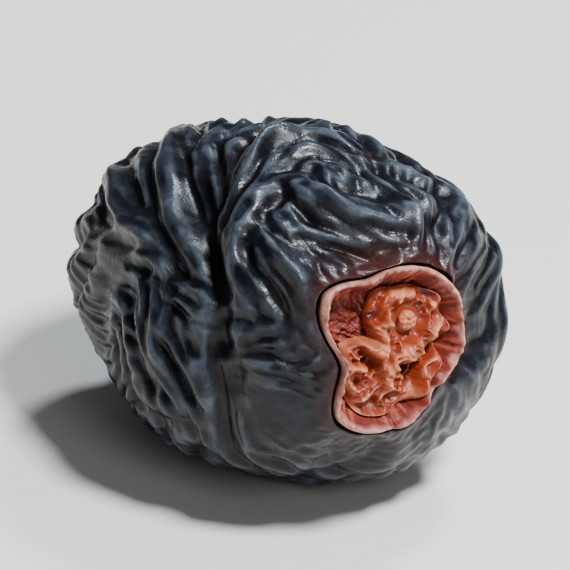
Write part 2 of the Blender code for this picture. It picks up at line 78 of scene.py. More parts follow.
# The cap's three lobes and the waists between them: the angle from +Y towards +Z, and the reach
# in mm. The petals overlap at the waists.
CAP_OUTLINE = (
    (42, 5.6),
    (102, 5.1),
    (134, 6.2),
    (181, 4.0),
    (224, 5.7),
    (270, 5.15),
    (313, 3.95),
    (358, 4.85),
)
CAP_MIDDLE = 4.2 * MM
OVERLAPS = (98, 184, 316)
OVERLAP_WIDTH = 7
OVERLAP_STEP = 0.4 * MM
OVERLAP_TWIST = 0.12

# The dish in the stalk end that the cap sits in, and the lip of skin round it.
SEAT_X = 12.1 * MM
SEAT_MARGIN = 0.05 * MM
SEAT_WALL = 0.05 * MM
LIP_HEIGHT = 0.25 * MM
LIP_WIDTH = 1.2 * MM
GAP = 0.08 * MM

# The petals: a bowl whose rim stands just above the skin.
PETAL_THICKNESS = 0.7 * MM
RIM_RISE = 0.15 * MM
RIM_WAVE = 0.15 * MM
RIM_WAVE_SIZE = 5 * MM
CURL_START = 0.66
LAYER_END = 0.94
RUFFLE = 0.16 * MM
RUFFLE_SIZE = 2.4 * MM

# The crumpled calyx: how far it reaches, its lobes and its notch as angle, length and width in
# degrees, and its folds and pits as height, half-width and the points (Y, Z) each runs through,
# all in mm.
CALYX_REACH = 3.55 * MM
CALYX_LOBES = ((36, 0.95 * MM, 28), (138, -2.0 * MM, 24), (238, 1.05 * MM, 28))
CALYX_THICKNESS = 0.65 * MM
CALYX_FOLDS = (
    (1.1, 0.38, ((-1.3, 0.4), (-2.1, 0.6), (-3.0, 0.4), (-2.9, -0.2), (-2.2, -0.8))),
    (1.0, 0.38, ((-3.2, -0.6), (-3.0, -1.6), (-2.6, -2.2), (-2.0, -3.0))),
    (1.2, 0.40, ((1.5, 3.5), (0.6, 3.2), (0.2, 2.8), (-0.4, 1.9), (-0.6, 0.9), (-0.9, 0.3), (-1.1, -0.8))),
    (0.9, 0.45, ((1.2, 3.5), (2.4, 3.0), (3.2, 2.1), (3.5, 1.0), (3.0, 0.0))),
    (1.2, 0.50, ((1.9, -0.3), (1.0, -0.6), (0.3, -0.9), (-0.2, -1.5))),
    (1.0, 0.38, ((-0.7, -2.3), (-0.9, -3.2), (-0.2, -3.8), (0.8, -3.6))),
    (0.8, 0.40, ((3.2, -0.8), (2.7, -1.7), (1.9, -2.5), (1.2, -3.0))),
    (-0.5, 0.50, ((2.4, -0.7), (1.7, -1.3), (1.2, -1.9))),
    (-0.5, 0.45, ((-2.5, -1.3), (-1.7, -0.8), (-1.8, 0.2))),
)
CALYX_FOLD_FALL = 1.6
CALYX_SWELL = 0.45 * MM
CALYX_EDGE = 6
FRAY = 0.25 * MM
FRAY_SIZE = 2 * MM
WARP = 0.25 * MM
WARP_SIZE = 2.5 * MM
CRUMPLE_SIZE = 2.2 * MM
CRUMPLE_HEIGHT = 0.4 * MM
CREASE_SLOPE = 1.6
CLEARANCE = 0.05 * MM

# The scar of the stalk, off the middle of the cap, and the calm ring of calyx round it.
SCAR_CENTRE = (1.5 * MM, 1.4 * MM)
SCAR_RADIUS = 0.62 * MM
SCAR_HEIGHT = 0.8 * MM
SCAR_PIT = 0.16 * MM
SCAR_RING = (0.8 * MM, 1.5 * MM)
SCAR_BULGES = ((3, 0.05, 1.0), (7, 0.03, 0.0))

# The pucker at the tip.
PUCKER_DEPTH = 0.9 * MM
PUCKER_RADIUS = 1.6 * MM

# Shrinkage relief of the skin: swells, dents, and bundles of parallel folds.
SWELL_SIZE = 15 * MM
SWELL_HEIGHT = 0.35 * MM
DENT_SIZE = 9 * MM
DENT_DEPTH = 1.0 * MM
DENT_RANGE = (0.1, 1.3)
DENT_STRETCH = 0.65
FOLD_SPACING = 2.7 * MM
FOLD_HEIGHT = 0.85 * MM
FOLD_SPREAD = 2.2 * MM
FOLD_COUNT = 700
SPACING_RANGE = (0.85, 1.2)
PATCH_REACH = 2.2
SETTLING_ROUNDS = 14
NEVER_ZERO = 1e-9

# Folds run round the fruit on the shoulder of its stalk end and lengthwise elsewhere, but wind
# off that course.
SHOULDER_X = 8 * MM
SHOULDER_REACH = 4.5 * MM
SHOULDER_TURN = 1.35
WINDING_SIZE = 12 * MM
WINDING = 1.3
SHOULDER_WINDING = 0.5
TURN_JITTER = 0.12

# Across a fold: where its round crest and its sharp one meet the bare skin, as a share of the
# height, and how far crease and crest are rounded off.
ROUND_LEVEL = 0.6
SHARP_LEVEL = 0.45
CREASE_ROUNDING = 0.04
CREST_ROUNDING = 0.025
SHARPNESS = 0.4
SHARP_SIZE = 8 * MM
SHARP_RANGE = (-0.3, 0.6)

# Where the skin is smoother: in patches, and in front below the cap.
STILL_SIZE = 9 * MM
STILL_RANGE = (-1.1, 0.1)
CALM_X = (9 * MM, 13 * MM)
CALM_DEPTH = (-4 * MM, 1 * MM)
CALM_SHARE = 0.75
LIP_RELIEF = 0.4

# The folds and furrows this date shows round its stalk end: height and half-width in mm, then
# the points it runs through. Each point is two angles in degrees: from the stalk end, and round
# the fruit from its top towards its front, at -Y. A furrow has a height below zero.
MARKED_FOLDS = (
    (1.05, 0.60, ((46, 58), (54, 50), (58, 39), (59, 27), (57, 16), (51, 14), (44, 8), (40, -4), (36, -18))),
    (0.90, 0.60, ((66, 46), (67, 30), (71, 18), (77, 6), (76, -6), (70, -12))),
    (0.70, 0.50, ((60, 42), (63, 28), (67, 15), (69, 4), (66, -6), (61, -14))),
    (0.75, 0.70, ((58, -17), (50, -20), (42, -26), (34, -28))),
    (0.75, 0.75, ((74, -50), (62, -54), (52, -56), (42, -56))),
    (0.60, 0.80, ((66, -68), (58, -74), (50, -82), (44, -90))),
    (1.00, 1.10, ((51, 38), (43, 41), (35, 46), (30, 56))),
    (0.80, 0.80, ((124, 16), (110, 22), (97, 32), (84, 43), (72, 52))),
    (0.75, 0.80, ((132, 26), (124, 38), (112, 46), (98, 53))),
    (0.60, 0.70, ((106, 62), (94, 58), (84, 57), (73, 60))),
    (0.65, 0.70, ((79, 66), (75, 76), (73, 86), (69, 94))),
    (0.60, 0.60, ((68, 68), (58, 69), (50, 64))),
    (0.50, 0.60, ((51, 92), (43, 90), (35, 94))),
    (-1.50, 1.25, ((42, 24), (36, 12), (31, 1), (29, -12))),
    (-1.20, 1.25, ((88, 26), (73, 38), (62, 50), (54, 66), (53, 84), (53, 102), (56, 118))),
)
CURVE_STEPS = 6
CREST_SHARE = 0.3
CREST_FALL = 1.3
END_FADE = 0.7
ARCH_START = 0.1
WANDER = 0.4 * MM
WANDER_SIZE = 5 * MM
FLOW_REACH = 2.6 * MM

# A random field sums waves about its size long. Each field has a seed of its own.
WAVES = 24
WAVE_RANGE = (0.6, 1.3)
WAVE_PEAK = 1.5
SEEDS = {
    "swell": 3,
    "dent": 21,
    "fold": 40,
    "still": 60,
    "sharp": 61,
    "wander": 70,
    "rim": 80,
    "ruffle": 83,
    "warp": 90,
    "crumple": 95,
    "fray": 96,
}

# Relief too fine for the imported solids: wrinkles, and the creasing of the skin between them.
WRINKLE_SPACING = 1.25 * MM
WRINKLE_HEIGHT = 0.42 * MM
WRINKLE_SPREAD = 1.3 * MM
WRINKLE_COUNT = 2400
WRINKLE_SHARP_SIZE = 6 * MM
WRINKLE_SHARP_RANGE = (-0.6, 0.4)
LEAST_SHARP = 0.4
WRINKLE_STILL_SIZE = 7 * MM
WRINKLE_STILL_RANGE = (-0.9, 0.2)
STILL_WRINKLES = 0.25
CALM_WRINKLES = 0.6
WRINKLE_SOFTNESS = 0.05
CRINKLE_SPACING = 0.68 * MM
CRINKLE_HEIGHT = 0.13 * MM
CRINKLE_SPREAD = 0.62 * MM
CRINKLE_COUNT = 9000
CRINKLE_SHARPNESS = 0.6
CRINKLE_SOFTNESS = 0.12
CRINKLE_PATCH_SIZE = 4 * MM
CRINKLE_RANGE = (-1.0, 0.8)
LEAST_CRINKLED = 0.35

# The smoothing that lets crests run evenly across the faces.
SMOOTHING_ROUNDS = 2

# Fine relief of the cap: the petals' upturned rim and the fibres along them, crepe on both, and a
# frayed scar.
RIM_FRAY = 0.02 * MM
RIM_FRAY_SIZE = 0.9 * MM
RIM_FOLD = 0.34 * MM
RIM_FOLD_PLACE = 0.962
RIM_FOLD_WIDTH = 0.032
RIM_FOLD_VARIETY = 0.7
RIM_FOLD_SIZE = 1.4 * MM
LOW_RIM_PLACE = 96
LOW_RIM_WIDTH = 30
LOW_RIM_DROP = 0.5
FIBRE_HEIGHT = 0.10 * MM
FIBRE_SIZE = 0.4 * MM
FIBRE_STRETCH = 0.2
PETAL_CREPES = ((0.9 * MM, 0.09 * MM), (0.4 * MM, 0.05 * MM))
CALYX_CREPES = ((1.3 * MM, 0.30 * MM), (0.6 * MM, 0.13 * MM))
CALYX_EDGE_THINNING = 0.5
CREPE_LEVEL = 0.5
CREPE_SLOPE = 1.5
FRAYING = 0.07 * MM
FRAYING_SIZE = 0.28 * MM
SCAR_PIT_SHARE = 0.3
SCAR_DOME = 0.3 * MM
FINE_SEEDS = {
    "rim fray": 81,
    "rim fold": 82,
    "pale rim": 86,
    "fibre": 84,
    "petal": 85,
    "calyx": 97,
    "scar": 110,
    "wrinkle": 140,
    "wrinkle still": 160,
    "wrinkle sharp": 161,
    "crinkle": 240,
    "crinkle patch": 260,
}

# Where the colours change: the pale rim of the petals and its painted shade at the top, the calyx round
# the scar, the skin near the cap, and the painted shade that weakens the skin's pale marks towards the tip.
PALE_RIM_UNEVENNESS = 0.035
PALE_RIM_SIZE = 1.0 * MM
PALE_RIM_RANGE = (0.90, 0.975)
# How much less pale the rim is at the top: painted shade.
TOP_RIM_PAINTED_SHADE = 0.6
SCAR_SURROUND = (0.7 * MM, 1.3 * MM)
SURROUND_HEIGHT = 0.5
HIGHEST_CRUMPLE = 1.4 * MM
NEAR_CAP = 0.7 * MM
# How much of the skin's pale marks is kept at the tip, and where that painted shade fades out.
TIP_SHADE_KEPT = 0.35
TIP_SHADE_X = (-8 * MM, 5 * MM)
CREST_AVERAGING = 3

# Segments and rings of each mesh. The fruit's rings follow the cap: the foot and the lip of the
# seat lie on two of them. Three quarters of a plate's rings are on its top.
FRUIT_RINGS = ((440, 224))
PETAL_RINGS = (420, 160)
CALYX_RINGS = (400, 160)
SCAR_RINGS = (120, 60)
FOOT_RING = math.radians(15)
LIP_RING = math.radians(21)
RING_CROWDING = 1.15
SIDE_CROWDING = 0.15
CROWDED_SIDE = math.radians(125)
TOP_SHARE = 0.75
EDGE_SQUARENESS = 5
EDGE_CLOSENESS = 1.25
UNDERSIDE = -0.5

# The seat's edge is found by halving the angle from the stalk end.
WIDEST_SEAT = math.pi / 3
SEARCH_STEPS = 24

# What counts as a crest for the colours: how many rounds of neighbours a point is compared with,
# and how far it then stands proud.
SKIN_CRESTS = (20, 0.10 * MM)
SKIN_EDGES = (6, 0.03 * MM)
PETAL_CRESTS = (30, 0.10 * MM)
CALYX_CRESTS = (40, 0.12 * MM)
SCAR_CRESTS = (20, 0.06 * MM)

# Colours, as linear red, green and blue.
SKIN_BLUE_BLACK = (0.0015, 0.0019, 0.0032)
SKIN_BROWN_BLACK = (0.0042, 0.0024, 0.0034)
# The skin's pale coat on its crests is its own waxy coat with painted sheen; its pale lines are painted
# highlights on the sharpest crests.
SKIN_WAXY_FILM_AND_SHEEN = (0.0135, 0.0172, 0.0240)
SKIN_GLINT_AND_FILM_LINES = (0.058, 0.073, 0.094)
SKIN_NEAR_CAP = (0.034, 0.008, 0.007)
PETAL_MAROON = (0.070, 0.005, 0.004)
PETAL_RED = (0.20, 0.024, 0.013)
PETAL_FIBRE = (0.36, 0.085, 0.045)
PETAL_DULL_RIM = (0.24, 0.062, 0.048)
PETAL_PINK_RIM = (0.52, 0.235, 0.185)
PETAL_LIT = (0.50, 0.23, 0.17)
# Painted shade for the petals' creases.
PETAL_CREASE_SHADE = (0.040, 0.004, 0.003)
CALYX_MAROON = (0.12, 0.010, 0.003)
CALYX_RED = (0.27, 0.038, 0.009)
CALYX_ORANGE = (0.40, 0.095, 0.038)
# Painted highlight on the calyx's high ground, painted shade in its pits, painted highlight on its crests and
# painted shade in its creases.
CALYX_PEACH_HIGHLIGHT = (0.60, 0.215, 0.110)
CALYX_PIT_SHADE = (0.070, 0.006, 0.003)
CALYX_LIT = (0.62, 0.24, 0.140)
CALYX_CREASE_SHADE = (0.055, 0.005, 0.002)
SCAR_ORANGE = (0.36, 0.085, 0.028)
SCAR_TAN = (0.56, 0.18, 0.080)
# Painted shade for the scar's pit and creases.
SCAR_CREASE_SHADE = (0.04, 0.008, 0.004)
FLOOR_COLOURS = ((0.71, 0.67, 0.62), (0.75, 0.71, 0.66))
SKY_COLOUR = (0.86, 0.91, 1.0)

# The view: the photo's camera stands about 0.72 m away, 27.5 degrees up, and shows the stalk end
# from 30 degrees to its front. Azimuths run from the front, at -Y, towards +X.
VIEW_AZIMUTH = math.radians(60)
VIEW_ELEVATION = math.radians(27.5)
VIEW_DISTANCE = 0.72
VIEW_WIDTH = 36 * MM
SENSOR = 36.0
NEAREST_SEEN = 0.01

# The lights: name, azimuth and elevation in degrees, distance, diameter, power and colour.
LIGHTS = (
    ("key", 105, 58, 0.40, 0.08, 4.0, (0.93, 0.97, 1.0)),
    ("back", 200, 58, 0.40, 0.08, 1.5, (0.80, 0.90, 1.0)),
    ("front", 80, 30, 0.50, 0.20, 0.5, (0.97, 0.98, 1.0)),
)
SKY_STRENGTH = 0.10
FLOOR_SIZE = 4
FLOOR_PATCHES = 0.02


def drift(points, size, seed):
    """A smooth random field of about -1 to 1, whose swells are about SIZE across."""
    rng = np.random.default_rng(seed)
    directions = rng.normal(size=(WAVES, 3))
    directions /= np.linalg.norm(directions, axis=1, keepdims=True)
    waves = directions * (2 * math.pi / size) * rng.uniform(*WAVE_RANGE, (WAVES, 1))
    phases = rng.uniform(0, 2 * math.pi, WAVES)
    return np.cos(points @ waves.T + phases).sum(1) / math.sqrt(WAVES / 2) / WAVE_PEAK


def drift_aside(points, size, seed):
    """Three random fields, as a sideways shift for each point."""
    return np.stack([drift(points, size, seed + axis) for axis in range(3)], axis=1)


def smooth_step(values, start, end):
    """0 up to START, 1 from END on, and a smooth rise between them."""
    share = np.clip((values - start) / (end - start), 0, 1)
    return share * share * (3 - 2 * share)


def degrees_apart(angles, centre):
    """Degrees from CENTRE to each angle in radians, from -180 to 180."""
    return (np.degrees(angles) - centre + 180) % 360 - 180


def bare_fruit(directions):
    """The smooth barrel of the fruit, met from its middle along each unit direction."""
    stretched = directions * (HALF_LENGTH, HALF_WIDTH, HALF_HEIGHT)
    along = stretched[:, 0] / np.linalg.norm(stretched, axis=1)
    share = 0.5 + 0.5 * along
    power = TIP_ROUNDNESS + (STALK_END_ROUNDNESS - TIP_ROUNDNESS) * share**2
    lengthwise = np.abs(stretched[:, 0] / HALF_LENGTH)
    across = np.hypot(stretched[:, 1] / HALF_WIDTH, stretched[:, 2] / HALF_HEIGHT)
    reach = (lengthwise**power + across**power) ** (-1 / power)
    points = stretched * reach[:, None]
    points[:, 1:] *= 1 + STALK_END_SWELL * (points[:, 0] / HALF_LENGTH)[:, None]
    return points


def outward(points):
    """Unit normals of the bare fruit, near enough for relief."""
    normals = points / np.square([HALF_LENGTH, HALF_WIDTH, HALF_HEIGHT])
    return normals / np.linalg.norm(normals, axis=1, keepdims=True)


def spiral(count):
    """Unit directions spread evenly over a sphere."""
    step = np.arange(count) + 0.5
    x = 1 - 2 * step / count
    turn = step * math.pi * (3 - math.sqrt(5))
    ring = np.sqrt(1 - x**2)
    return np.stack([x, ring * np.cos(turn), ring * np.sin(turn)], axis=1)


def around(from_end, round_stalk):
    """Unit directions, by their angle from the stalk end and round it from +Y towards +Z."""
    ring = np.sin(from_end)
    return np.stack([np.cos(from_end), ring * np.cos(round_stalk), ring * np.sin(round_stalk)], axis=1)


def rounded_curve(corners):
    """A smooth curve through the corners, as closely spaced points."""
    padded = np.concatenate([[2 * corners[0] - corners[1]], corners, [2 * corners[-1] - corners[-2]]])
    steps = np.arange(CURVE_STEPS)[:, None] / CURVE_STEPS
    pieces = []
    for before, start, end, after in zip(padded, padded[1:], padded[2:], padded[3:]):
        slope = end - before
        bend = 2 * before - 5 * start + 4 * end - after
        twist = 3 * start - before - 3 * end + after
        pieces.append(start + 0.5 * (slope * steps + bend * steps**2 + twist * steps**3))
    return np.concatenate([*pieces, corners[-1:]])


def marked_curve(corners):
    """The line of a marked fold on the bare fruit."""
    from_end, from_top = np.radians(np.array(corners, float)).T
    return rounded_curve(bare_fruit(around(from_end, math.pi / 2 + from_top)))


def near_curve(points, curve):
    """Each point's distance to the curve, the share of the way along it, and its direction there."""
    nearest = np.full(len(points), np.inf)
    share = np.zeros(len(points))
    along = np.zeros((len(points), 3))
    for index, (start, end) in enumerate(zip(curve, curve[1:])):
        span = end - start
        place = np.clip((points - start) @ span / (span @ span), 0, 1)
        distance = np.linalg.norm(points - start - place[:, None] * span, axis=1)
        closer = distance < nearest
        nearest[closer] = distance[closer]
        share[closer] = (index + place[closer]) / (len(curve) - 1)
        along[closer] = span / np.linalg.norm(span)
    return nearest, share, along


def marked_flow(points):
    """The direction of the marked fold nearest to each point, and how strongly it holds there."""
    nearest = np.full(len(points), np.inf)
    flow = np.zeros((len(points), 3))
    for _, _, corners in MARKED_FOLDS:
        distance, _, along = near_curve(points, marked_curve(corners))
        closer = distance < nearest
        nearest[closer] = distance[closer]
        flow[closer] = along[closer]
    return flow, np.exp(-((nearest / FLOW_REACH) ** 2))[:, None]


def marked_folds(points):
    """The height of the marked folds and furrows, which fade towards their ends."""
    moved = points + WANDER * drift_aside(points, WANDER_SIZE, SEEDS["wander"])
    total = np.zeros(len(points))
    for height, width, corners in MARKED_FOLDS:
        distance, share, _ = near_curve(moved, marked_curve(corners))
        crest = CREST_SHARE * width * MM
        slope = (np.sqrt(distance**2 + crest**2) - crest) / (width * MM)
        arch = ARCH_START + (1 - 2 * ARCH_START) * share
        ends = np.sin(math.pi * arch) ** END_FADE
        total += height * MM * np.exp(-(slope**CREST_FALL)) * ends
    return total


def fold_waves(count, spacing, seed):
    """The centre of each patch of folds, and the wave across them, 2 pi over their spacing long.

    Folds run along the marked ones near them, and else round the fruit on the shoulder of the
    stalk end and lengthwise near both ends.
    """
    rng = np.random.default_rng(seed)
    centres = bare_fruit(spiral(count))
    normals = outward(centres)
    across = np.cross(normals, (1.0, 0.0, 0.0))
    across /= np.maximum(np.linalg.norm(across, axis=1, keepdims=True), NEVER_ZERO)
    lengthwise = np.cross(across, normals)
    shoulder = np.exp(-(((centres[:, 0] - SHOULDER_X) / SHOULDER_REACH) ** 2))
    winding = WINDING + (SHOULDER_WINDING - WINDING) * shoulder
    turn = SHOULDER_TURN * shoulder + winding * drift(centres, WINDING_SIZE, seed + 1)
    turn += rng.normal(0, TURN_JITTER, count)
    direction = across * np.cos(turn)[:, None] + lengthwise * np.sin(turn)[:, None]
    along, pull = marked_flow(centres)
    aligned = np.cross(normals, along)
    aligned *= np.sign((aligned * direction).sum(1, keepdims=True))
    direction = direction * (1 - pull) + aligned * pull
    direction /= np.linalg.norm(direction, axis=1, keepdims=True)
    length = 2 * math.pi / spacing * rng.uniform(*SPACING_RANGE, (count, 1))
    return centres, direction * length


def settled_phases(centres, waves, spread, seed):
    """Phases that let each patch's folds run on into its neighbours'."""
    phases = np.random.default_rng(seed).uniform(0, 2 * math.pi, len(centres))
    offsets = centres[:, None] - centres[None]
    weight = np.exp(-np.square(offsets).sum(2) / spread**2)
    np.fill_diagonal(weight, 0)
    turns = np.einsum("ijk,jk->ij", offsets, waves)
    for _ in range(SETTLING_ROUNDS):
        met = (weight * np.exp(1j * (turns + phases[None]))).sum(1)
        phases = np.angle(np.exp(1j * phases) + 2 * met / np.maximum(np.abs(met), NEVER_ZERO))
    return phases


def folds(points, count, spacing, spread, seed, settled=True):
    """The phase of the folds at each point, 0 along a crest, and their strength from 0 to 1."""
    centres, waves = fold_waves(count, spacing, seed)
    if settled:
        phases = settled_phases(centres, waves, spread, seed + 2)
    else:
        phases = np.random.default_rng(seed + 2).uniform(0, 2 * math.pi, count)
    order = np.argsort(points[:, 0])
    ordered = points[order]
    field = np.zeros(len(points), complex)
    width = PATCH_REACH * spread
    starts = np.searchsorted(ordered[:, 0], centres[:, 0] - width)
    ends = np.searchsorted(ordered[:, 0], centres[:, 0] + width)
    for centre, wave, phase, start, end in zip(centres, waves, phases, starts, ends):
        offset = ordered[start:end] - centre
        squared = np.square(offset).sum(1)
        near = np.flatnonzero(squared < width**2)
        turned = np.exp(1j * (offset[near] @ wave + phase))
        field[start + near] += np.exp(-squared[near] / spread**2) * turned
    strength = np.abs(field)
    strength = np.clip(strength / np.median(strength), 0, 1)
    phase = np.angle(field)
    back = np.argsort(order)
    return phase[back], strength[back]


def fold_profile(phase, sharpness, softness=0.0):
    """Height across a fold: round crests and creases at a sharpness of 0, sharp crests at 1."""
    round_crest = np.sqrt(0.5 + 0.5 * np.cos(phase) + CREASE_ROUNDING + softness) - ROUND_LEVEL
    sharp_crest = SHARP_LEVEL - np.sqrt(0.5 - 0.5 * np.cos(phase) + CREST_ROUNDING + softness)
    return round_crest * (1 - sharpness) + sharp_crest * sharpness


def calm_front(points):
    """How smooth the skin is below and beside the cap, 0 to 1."""
    return smooth_step(points[:, 0], *CALM_X) * smooth_step(-points[:, 2], *CALM_DEPTH)


def relief(points):
    """How far the dried skin stands out from the bare fruit."""
    swell = SWELL_HEIGHT * drift(points, SWELL_SIZE, SEEDS["swell"])
    dented = smooth_step(drift(points * (DENT_STRETCH, 1, 1), DENT_SIZE, SEEDS["dent"]), *DENT_RANGE)
    phase, strength = folds(points, FOLD_COUNT, FOLD_SPACING, FOLD_SPREAD, SEEDS["fold"])
    sharpness = SHARPNESS * smooth_step(drift(points, SHARP_SIZE, SEEDS["sharp"]), *SHARP_RANGE)
    strength *= smooth_step(drift(points, STILL_SIZE, SEEDS["still"]), *STILL_RANGE)
    strength *= 1 - CALM_SHARE * calm_front(points)
    folded = FOLD_HEIGHT * fold_profile(phase, sharpness) * strength
    return swell - DENT_DEPTH * dented + folded + marked_folds(points)


def skin_relief(points):
    """The relief, with finer wrinkles and creasing on it."""
    smoother = 1 - (1 - CALM_WRINKLES) * calm_front(points)
    spot = drift(points, WRINKLE_STILL_SIZE, FINE_SEEDS["wrinkle still"])
    busy = STILL_WRINKLES + (1 - STILL_WRINKLES) * smooth_step(spot, *WRINKLE_STILL_RANGE)
    spot = drift(points, WRINKLE_SHARP_SIZE, FINE_SEEDS["wrinkle sharp"])
    sharpness = LEAST_SHARP + (1 - LEAST_SHARP) * smooth_step(spot, *WRINKLE_SHARP_RANGE)
    phase, strength = folds(points, WRINKLE_COUNT, WRINKLE_SPACING, WRINKLE_SPREAD, FINE_SEEDS["wrinkle"])
    wrinkles = fold_profile(phase, sharpness, WRINKLE_SOFTNESS) * strength * busy * smoother
    spot = drift(points, CRINKLE_PATCH_SIZE, FINE_SEEDS["crinkle patch"])
    patchy = LEAST_CRINKLED + (1 - LEAST_CRINKLED) * smooth_step(spot, *CRINKLE_RANGE)
    phase, strength = folds(
        points, CRINKLE_COUNT, CRINKLE_SPACING, CRINKLE_SPREAD, FINE_SEEDS["crinkle"], settled=False
    )
    crinkles = fold_profile(phase, CRINKLE_SHARPNESS, CRINKLE_SOFTNESS) * strength * patchy
    return relief(points) + WRINKLE_HEIGHT * wrinkles + CRINKLE_HEIGHT * crinkles


def cap_reach(angles):
    """The outline of the cap: how far the petals reach at each angle round the stalk."""
    reach = np.zeros(len(angles))
    for (start, first), (end, last) in zip(CAP_OUTLINE, CAP_OUTLINE[1:] + CAP_OUTLINE[:1]):
        width = (end - start) % 360
        into = (np.degrees(angles) - start) % 360
        inside = into < width
        reach[inside] = first + (last - first) * smooth_step(into[inside], 0, width)
    return reach * MM


def face_level(away):
    """The level along X of the bare stalk end, AWAY from its middle."""
    across = (away / HALF_WIDTH) ** STALK_END_ROUNDNESS
    return HALF_LENGTH * (1 - across) ** (1 / STALK_END_ROUNDNESS)


def laid_down(points):
    """Leans the date, lifts it to its resting height and presses it flat on Z = 0."""
    x, y, z = points.T
    lying = np.stack(
        [
            x * math.cos(LEAN) - z * math.sin(LEAN) + CENTRING[0],
            y + CENTRING[1],
            x * math.sin(LEAN) + z * math.cos(LEAN) + AXIS_HEIGHT,
        ],
        axis=1,
    )
    above = np.maximum(lying[:, 2], 0)
    lying[:, 2] = above**2 / (above + PRESS_BLEND)
    return lying


def beyond_seat(bare):
    """How far points of the bare fruit are outside the foot of the seat's wall."""
    away = np.hypot(bare[:, 1], bare[:, 2])
    return away - cap_reach(np.arctan2(bare[:, 2], bare[:, 1])) - SEAT_MARGIN


def seat_angle(round_stalk, beyond):
    """The angle from the stalk end at which the bare fruit is BEYOND outside the seat's foot."""
    low = np.zeros(len(round_stalk))
    high = np.full(len(round_stalk), WIDEST_SEAT)
    for _ in range(SEARCH_STEPS):
        middle = (low + high) / 2
        inside = beyond_seat(bare_fruit(around(middle, round_stalk))) < beyond
        low = np.where(inside, middle, low)
        high = np.where(inside, high, middle)
    return middle


def fruit_skin(sphere):
    """The surface of the dried fruit, with the sphere's rings round the stalk."""
    ring = np.arccos(np.clip(sphere[:, 2], -1, 1))
    turn = np.arctan2(sphere[:, 1], sphere[:, 0])
    round_stalk = turn - SIDE_CROWDING * np.sin(turn - CROWDED_SIDE)
    foot = seat_angle(round_stalk, 0)
    lip = seat_angle(round_stalk, SEAT_WALL)
    on_floor = foot * ring / FOOT_RING
    on_wall = foot + (lip - foot) * (ring - FOOT_RING) / (LIP_RING - FOOT_RING)
    onward = np.maximum(ring - LIP_RING, 0) / (math.pi - LIP_RING)
    on_skin = lip + (math.pi - lip) * onward**RING_CROWDING
    from_end = np.where(ring < FOOT_RING, on_floor, np.where(ring < LIP_RING, on_wall, on_skin))
    bare = bare_fruit(around(from_end, round_stalk))
    away = np.hypot(bare[:, 1], bare[:, 2])
    beyond = np.where(bare[:, 0] > 0, beyond_seat(bare), HALF_LENGTH)
    free = smooth_step(beyond, 0, SEAT_WALL)
    lip_height = LIP_HEIGHT * np.exp(-(((beyond - SEAT_WALL) / LIP_WIDTH) ** 2))
    resting = np.exp(-(np.square(bare - REST_POINT).sum(1) / REST_RADIUS**2) ** 2)
    pucker = np.where(bare[:, 0] < 0, -PUCKER_DEPTH * np.exp(-((away / PUCKER_RADIUS) ** 2)), 0)
    kept = LIP_RELIEF + (1 - LIP_RELIEF) * smooth_step(beyond, 0, LIP_WIDTH)
    height = (skin_relief(bare) * kept + lip_height) * (1 - resting)
    points = bare + outward(bare) * ((height + pucker) * free)[:, None]
    points[:, 0] = np.where(bare[:, 0] > 0, points[:, 0] * free + SEAT_X * (1 - free), points[:, 0])
    return laid_down(points)


def plate(directions, reach):
    """Spreads a sphere into a plate: radius and angle, and -1 to 1 from its underside to its top."""
    angles = np.arctan2(directions[:, 1], directions[:, 0])
    turn = np.arccos(np.clip(directions[:, 2], -1, 1)) / math.pi
    inwards = np.interp(turn, (0, TOP_SHARE, 1), (1, 0, -1))
    share = 1 - np.abs(inwards) ** EDGE_CLOSENESS
    side = np.sign(inwards) * (1 - share**EDGE_SQUARENESS) ** (1 / EDGE_SQUARENESS)
    return reach(angles) * share, angles, side


def placed(radius, angles, height):
    """Points at a radius and angle round the stalk, and a height along X."""
    across = radius * np.cos(angles)
    return np.stack([np.broadcast_to(height, across.shape), across, radius * np.sin(angles)], axis=1)


def crepe(flat, size, seed):
    """Fine crinkling of dry tissue: winding creases down to about -1 between crests at 0.5."""
    return CREPE_LEVEL - CREPE_SLOPE * np.abs(drift(flat, size, seed))


def petal_reach(angles):
    """The outline of the cap with its finely frayed edge."""
    edge = placed(CAP_MIDDLE, angles, 0)
    return cap_reach(angles) + RIM_FRAY * drift(edge, RIM_FRAY_SIZE, FINE_SEEDS["rim fray"])


def low_rim(angles):
    """Where the petals' rim is lower, and less pale as painted shade, near the top of the cap, 0 to 1."""
    return np.exp(-((degrees_apart(angles, LOW_RIM_PLACE) / LOW_RIM_WIDTH) ** 2))


def petal_fibres(radius, angles):
    """Fibres that run from the middle of the petals to their rims, about -1 to 1."""
    return drift(placed(CAP_MIDDLE, angles, FIBRE_STRETCH * radius), FIBRE_SIZE, FINE_SEEDS["fibre"])


def petal_levels(radius, angles):
    """How high each petal lies: every one starts under its neighbour and ends over the next."""
    twisted = angles + OVERLAP_TWIST * radius / CAP_MIDDLE
    level = np.zeros(len(angles))
    for start, end in zip(OVERLAPS, OVERLAPS[1:] + OVERLAPS[:1]):
        width = (end - start) % 360
        into = (np.degrees(twisted) - start) % 360
        inside = into < width
        share = np.minimum(into / OVERLAP_WIDTH, 1) - into / width
        level[inside] = OVERLAP_STEP * share[inside]
    return level


def petal_middle(radius, angles):
    """The level of the middle of the petals: a bowl whose uneven rim stands just above the skin."""
    rim = face_level(cap_reach(angles)) + LIP_HEIGHT + RIM_RISE - PETAL_THICKNESS / 2
    rim += RIM_WAVE * drift(placed(CAP_MIDDLE, angles, 0), RIM_WAVE_SIZE, SEEDS["rim"])
    floor = SEAT_X + GAP + PETAL_THICKNESS / 2
    return floor + (rim - floor) * smooth_step(radius / cap_reach(angles), CURL_START, 1.0)


def petal_layers(radius, angles):
    """How far the petals' tops stand above an even thickness, towards their rims."""
    outer = smooth_step(radius / cap_reach(angles), CURL_START, LAYER_END)
    ruffle = RUFFLE * drift(placed(radius, angles, 0), RUFFLE_SIZE, SEEDS["ruffle"])
    return (petal_levels(radius, angles) + ruffle) * outer


